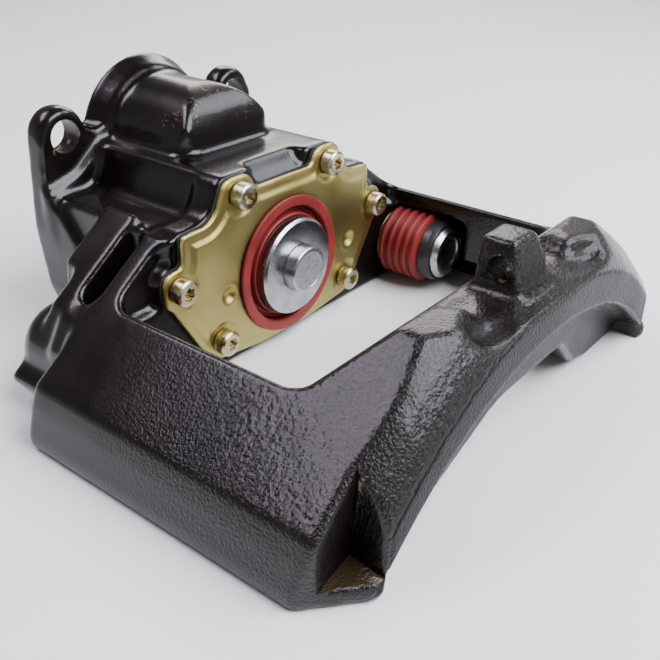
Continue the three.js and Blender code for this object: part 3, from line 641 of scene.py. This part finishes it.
def cover():
    """Pressed sheet: a raised middle, a lower rim with rounded edges, lower ears and two dimples."""
    voxel = 0.6
    back, rim, middle = -6.0, -3.9, -2.2
    low = tuple(int(v / voxel) for v in (-88, -9, -46))
    shape = [int(s / voxel) for s in (176, 11, 106)]
    field = Field(np.zeros(shape, np.float32), low, voxel)
    (x, y, z), _ = field.axes()
    across, up = np.broadcast_arrays(x[:, 0, :], z[:, 0, :])
    edge = outline_distance(rounded(both_halves(COVER_HALF), 10), across, up)
    inner = edge + 5.5
    for sx, sz in SCREWS:
        for side in SIDES:
            ear = 9.0 - np.hypot(across - side * sx, up - sz)
            inner = -smooth_min(-inner, -ear, 3)
    front = rim + (middle - rim) * ramp(-inner, -1.2, 2.6)
    for dx, dz in ((44.8, -1.7), (-50.8, -2.6)):
        r = np.hypot(across - dx, up - dz)
        front = front - 2.2 * (1 - ramp(r, 1.2, 5.4)) + 0.3 * ramp(r, 3, 5.4) * (1 - ramp(r, 5.4, 8))
    hole = 34.5 - np.hypot(across, up)
    plan = np.maximum(edge, hole)
    for sx, sz in SCREWS:
        for side in SIDES:
            plan = np.maximum(plan, SCREW_HOLE_R - np.hypot(across - side * sx, up - sz))
    above = (y - front[:, None, :]).astype(np.float32)
    below = (back - y).astype(np.float32)
    walls = np.broadcast_to(plan[:, None, :], field.values.shape).astype(np.float32)
    slab = -smooth_min(-above, -walls, 2.6)
    field.values = np.ascontiguousarray(np.maximum(slab, below))
    points, faces = field.mesh()
    made = piece("cover", points, faces, GOLD, 40)
    thin_out(made, 60000)
    made.data.set_sharp_from_angle(angle=radians(45))
    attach(made, "root")
    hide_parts("cover_plate")


def cover_screws():
    profile = [
        (0, -24), (2.5, -24, 0.6), (3.5, -22.5, 0.5), (3.5, -3.6), (6.1, -3.6, 0.5), (6.6, -2.9, 0.4),
        (6.5, 2.3, 0.9), (5.3, 3.3, 0.4), (0, 3.3),
    ]
    lobes = []
    for i in range(72):
        angle = 2 * pi * i / 72
        lobes.append(3.05 + 0.42 * cos(6 * angle) - 0.1 * cos(12 * angle))
    turns = (0.2, 0.9, 1.5, 0.4, 2.2, 0.7)
    names = ("top", "side", "bottom")
    for k, (x, z) in enumerate(SCREWS):
        for side, hand in ((1, "left"), (-1, "right")):
            made = lathe(f"screw_{names[k]}_{hand}", profile, (side * x, z), ZINC, 48, False)
            turn = turns[2 * k + (side < 0)]
            star = [
                (side * x + r * cos(2 * pi * i / 72 + turn), z + r * sin(2 * pi * i / 72 + turn))
                for i, r in enumerate(lobes)
            ]
            cut_away(made, [prism_mesh(star, 0.0, 4.0)])
            made.data.polygons.foreach_set("use_smooth", [True] * len(made.data.polygons))
            made.data.set_sharp_from_angle(angle=radians(32))
            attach(made, "root")
            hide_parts(f"cover_screw_{names[k]}_{hand}")


# ---------------------------------------------------------------- tappet, plug and boot
def tappet_parts():
    ring = [
        (31, -6.5, 0.3), (34.2, -6.5, 0.3), (34.2, -2.0), (36.4, -2.0, 0.5), (36.8, -1.2, 0.5),
        (36.5, -0.2, 0.8), (34.5, 0, 1), (31.6, 0, 1.1), (31, -1, 0.4),
    ]
    made = lathe("silicone_ring", ring, (0, 0), SILICONE, 128)
    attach(made, "root")
    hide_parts("boot_ring")
    fold = [
        (26.15, -6.3, 0.2), (30.6, -6.3, 0.3), (30.6, -5, 0.4), (29.7, -4.4, 0.4), (28.7, -5.4, 0.4),
        (27.7, -5.2, 0.3), (27.3, -1.6, 0.4), (26.8, -1.0, 0.3), (26.15, -1.1, 0.2),
    ]
    made = lathe("silicone_fold", fold, (0, 0), SILICONE, 128)
    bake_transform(made)
    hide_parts("tappet_boot")
    body = [
        (10.3, -30.5, 0.3), (15.5, -30.5, 0.8), (15.5, -6, 1), (25.3, -4.1, 0.6), (25.8, -3.4, 0.4),
        (25.8, 3.6, 0.3), (24.4, 4.9, 0.3), (12.6, 4.9, 0.2), (12.6, 4.1), (6.3, 4.1), (6.3, 3), (10.3, 3),
    ]
    made = lathe("tappet_body", body, (0, 0), BRIGHT, 128)
    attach(made, "tappet")
    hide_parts("tappet")
    plug = [
        (0, 3.4), (6, 3.4), (6, 4.4), (12.1, 4.4, 0.3), (12.3, 5.2, 0.3), (12.3, 11.2, 0.6),
        (11.6, 12, 0.5), (9.7, 12, 0.2), (9.5, 11.75, 0.2), (0, 11.75),
    ]
    made = lathe("tappet_nub", plug, (0, 0), SCRATCHED, 96, False)
    made.data.materials.append(BRIGHT)
    for face in made.data.polygons:
        r = (Vector((face.center.x, face.center.z)) - Vector((DATUM.x, DATUM.z))).length / MM
        face.material_index = 1 if r > 9.6 else 0
    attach(made, "tappet")
    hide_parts("tappet_plug")


# ---------------------------------------------------------------- guides
def guides():
    """On each side a sleeve in its bush, with its collar, bellows and end cap."""
    for side, hand in ((1, "left"), (-1, "right")):
        centre = (side * PIN[0], PIN[1])
        body = "guide_" + hand
        sleeve = [
            (9.2, -38, 0.4), (15.7, -38, 0.8), (15.7, 30.4, 0.4),
            (13.6, 33, 0.5), (9.8, 33, 0.4), (9.2, 32.2, 0.3),
        ]
        made = lathe("sleeve_" + hand, sleeve, centre, BRIGHT, 96)
        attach(made, body)
        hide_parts("guide_sleeve_" + hand)
        collar = [(16, 21.8, 0.3), (18.2, 21.8, 0.5), (18.3, 26.5, 0.8), (17.2, 29.4, 0.6), (16, 29.5, 0.3)]
        made = lathe("collar_" + hand, collar, centre, DARK, 96)
        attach(made, body)
        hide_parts("sleeve_collar_" + hand)
        folds = [(16.2, -5.7, 0.3)]
        count, start, end = 5, -5.7, 21.5
        pitch = (end - start) / count
        for i in range(count):
            y = start + i * pitch
            folds.append((17.4, y, 0.0 if i == 0 else 0.7))
            folds += [(20.7, y + share * pitch, 0.9) for share in (0.32, 0.68)]
        folds += [(17.4, end), (16.2, end, 0.3)]
        made = lathe("bellows_" + hand, folds, centre, SILICONE, 96)
        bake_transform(made)
        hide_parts("guide_bellows_" + hand)
        bush = [(16, -48, 0.4), (17.5, -48, 0.4), (17.5, -7, 0.4), (16, -7, 0.4)]
        made = lathe("bush_" + hand, bush, centre, BRONZE, 72)
        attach(made, "root")
        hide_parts("guide_bush_" + hand)
        cap = [
            (0, -57.6), (15.5, -57.6, 0.5), (17.5, -57.5, 0.4), (17.5, -60.7, 0.5),
            (15, -60.7, 0.4), (14, -60, 0.5), (0, -60),
        ]
        made = lathe("cap_" + hand, cap, centre, ZINC, 72, False)
        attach(made, "root")
        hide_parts("guide_cap_" + hand)


# ---------------------------------------------------------------- return spring
def spring():
    """An open coil, between the seat and the cover plate."""
    mean, wire, turns = 21.5, 1.5, 3.5
    back, front = -28.2 + wire + 0.3, -6 - wire - 0.3
    steps, sides = 168, 14
    points, faces = [], []
    for i in range(steps + 1):
        t = i / steps
        angle = 2 * pi * turns * t
        out = Vector((cos(angle), 0, sin(angle)))
        centre = out * mean + Vector((0, back + (front - back) * t, 0))
        along = Vector((-sin(angle), (front - back) / (2 * pi * turns * mean), cos(angle))).normalized()
        up = along.cross(out)
        for k in range(sides):
            a = 2 * pi * k / sides
            points.append(tuple(centre + out * (wire * cos(a)) + up * (wire * sin(a))))
    for i in range(steps):
        for k in range(sides):
            n = (k + 1) % sides
            a, b = i * sides, (i + 1) * sides
            faces.append([a + k, b + k, b + n, a + n])
    faces.append(list(range(sides)))
    faces.append([steps * sides + k for k in range(sides)][::-1])
    made = piece("coil_spring", points, faces, STEEL)
    turn_outwards(made)
    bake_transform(made)
    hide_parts("return_spring")


def hidden_pieces():
    """Inner pieces keep their CAD shape and get their finish."""
    finish = {
        "cover_gasket": GASKET, "threaded_spindle": STEEL, "spindle_gear": STEEL, "adjuster_shaft": STEEL,
        "adjuster_cap": RUBBER, "thrust_bridge": STEEL, "spring_seat": STEEL, "operating_lever": STEEL,
        "eccentric_roller": BRIGHT, "bearing_shell_left": BRONZE, "bearing_shell_right": BRONZE,
    }
    for name, material in finish.items():
        mesh = NODES[name].data
        mesh.materials.clear()
        mesh.materials.append(material)
        mesh.polygons.foreach_set("use_smooth", [True] * len(mesh.polygons))
        mesh.set_sharp_from_angle(angle=radians(28))


casting()
cover()
cover_screws()
tappet_parts()
guides()
spring()
hidden_pieces()

# ---------------------------------------------------------------- floor, light and camera
floor_finish = Finish("pale_floor", Roughness=0.9)
floor_tone = floor_finish.noise(3, 2)
floor_finish.set(Base_Color=floor_finish.mix(floor_tone, (0.86, 0.86, 0.86), (0.9, 0.9, 0.9)))
floor_mesh = bpy.data.meshes.new("floor")
FLOOR_SPAN = 6.0
FLOOR_Z = -0.0003
corners = [(x * FLOOR_SPAN, y * FLOOR_SPAN, FLOOR_Z) for x, y in ((-1, -1), (1, -1), (1, 1), (-1, 1))]
floor_mesh.from_pydata(corners, [], [(0, 1, 2, 3)])
floor_mesh.materials.append(floor_finish.material)
floor = bpy.data.objects.new("floor", floor_mesh)
bpy.context.scene.collection.objects.link(floor)


def softbox(name, towards, distance, size, power, colour=(1, 1, 1)):
    """An area light in the direction towards, facing the caliper."""
    light = bpy.data.lights.new(name, "AREA")
    light.shape = "RECTANGLE"
    light.size, light.size_y = size
    light.energy = power
    light.color = colour
    lamp = bpy.data.objects.new(name, light)
    bpy.context.scene.collection.objects.link(lamp)
    direction = Vector(towards).normalized()
    lamp.location = Vector((0, 0, 0.05)) + direction * distance
    lamp.rotation_euler = direction.to_track_quat("Z", "Y").to_euler()


softbox("key", (-0.15, 0.61, 0.76), 1.3, (1.1, 0.9), 40, (0.9, 0.94, 1.0))
softbox("back", (-0.69, -0.54, 0.49), 1.8, (1.0, 0.7), 14, (1.0, 0.95, 0.92))
softbox("top", (0.3, -0.45, 0.84), 1.6, (1.0, 0.5), 16, (0.93, 0.86, 1.0))
softbox("side", (-0.69, 0.22, 0.69), 1.6, (0.8, 0.45), 9, (0.86, 0.92, 1.0))

world = bpy.data.worlds.new("studio")
world.use_nodes = True
sky = world.node_tree
spread = sky.nodes.new("ShaderNodeTexCoord")
height = sky.nodes.new("ShaderNodeSeparateXYZ")
fade = sky.nodes.new("ShaderNodeMapRange")
sky.links.new(spread.outputs["Generated"], height.inputs[0])
sky.links.new(height.outputs["Z"], fade.inputs["Value"])
for socket, value in (("From Min", 0.05), ("From Max", 0.6), ("To Min", 0.55), ("To Max", 0.15)):
    fade.inputs[socket].default_value = value
background = sky.nodes["Background"]
background.inputs["Color"].default_value = (1, 1, 1, 1)
sky.links.new(fade.outputs["Result"], background.inputs["Strength"])
bpy.context.scene.world = world

camera_data = bpy.data.cameras.new("camera")
camera_data.lens = 47.18
camera_data.sensor_width = 36
camera_data.shift_x = 0.002
camera_data.clip_start = 0.01
camera = bpy.data.objects.new("camera", camera_data)
bpy.context.scene.collection.objects.link(camera)
forward = Vector((-0.68714, -0.54075, -0.48522)).normalized()
right = Vector((-0.62379, 0.78149, 0.01245)).normalized()
up = right.cross(forward).normalized()
right = forward.cross(up).normalized()
turn = Matrix((right, up, -forward)).transposed()
camera.matrix_world = Matrix.Translation((0.31167, 0.25123, 0.23355)) @ turn.to_4x4()
bpy.context.scene.camera = camera
